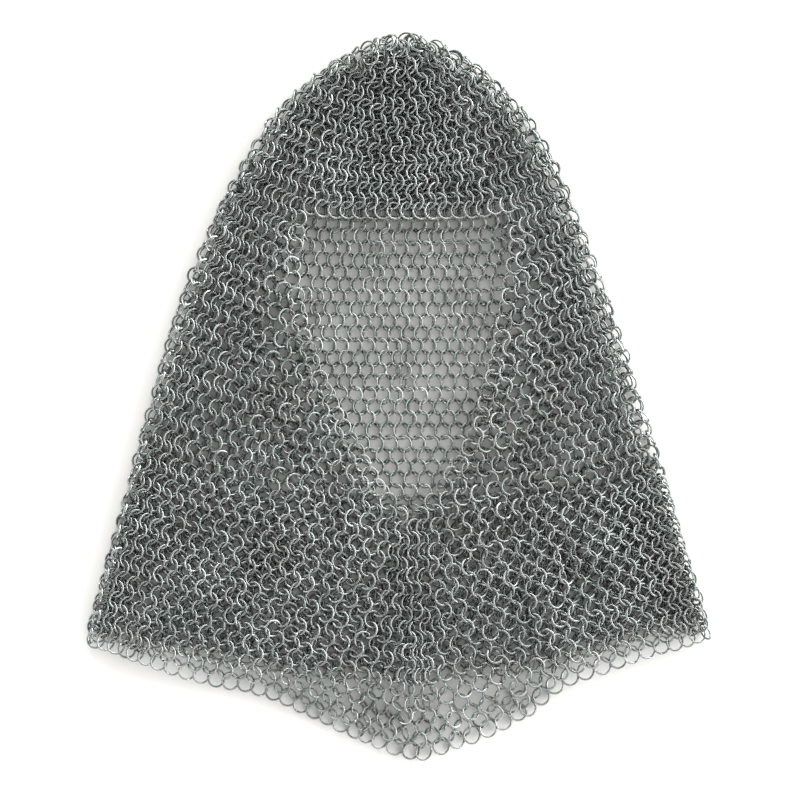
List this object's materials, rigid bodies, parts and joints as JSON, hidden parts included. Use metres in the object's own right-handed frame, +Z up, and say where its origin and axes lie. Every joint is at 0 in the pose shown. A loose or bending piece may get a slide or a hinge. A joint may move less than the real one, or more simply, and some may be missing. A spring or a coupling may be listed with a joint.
{
  "type": "steel mesh hood",
  "caption": "Hood of interlinked steel rings laid flat with its face opening up: rounded crown, open face, wide shoulder mantle and a front hem that comes to a shallow point.",
  "frame": {"origin": "middle of the hood's outline on the surface that it lies on", "axes": "+Y from the hem to the crown, +Z up from the surface, +X to the viewer's right when the face opening is seen from above"},
  "size_m": [0.445, 0.5176, 0.0133],
  "materials": {
    "steel_rings": "plain zinc-coated steel wire, lightly dulled, with a faint green-blue cast"
  },
  "bodies": {
    "root": {"side_fold_left": "steel_rings", "crown_fold": "steel_rings", "side_fold_right": "steel_rings", "crown_front": "steel_rings", "brow_front": "steel_rings", "brow_edge": "steel_rings", "face_edge_left": "steel_rings", "cheek_left": "steel_rings", "face_edge_right": "steel_rings", "cheek_right": "steel_rings", "hem_front_left": "steel_rings", "mantle_front_left": "steel_rings", "hem_front_right": "steel_rings", "mantle_front_right": "steel_rings", "crown_back": "steel_rings", "neck_back": "steel_rings", "mantle_back": "steel_rings", "hem_back": "steel_rings"}
  },
  "joints": []
}
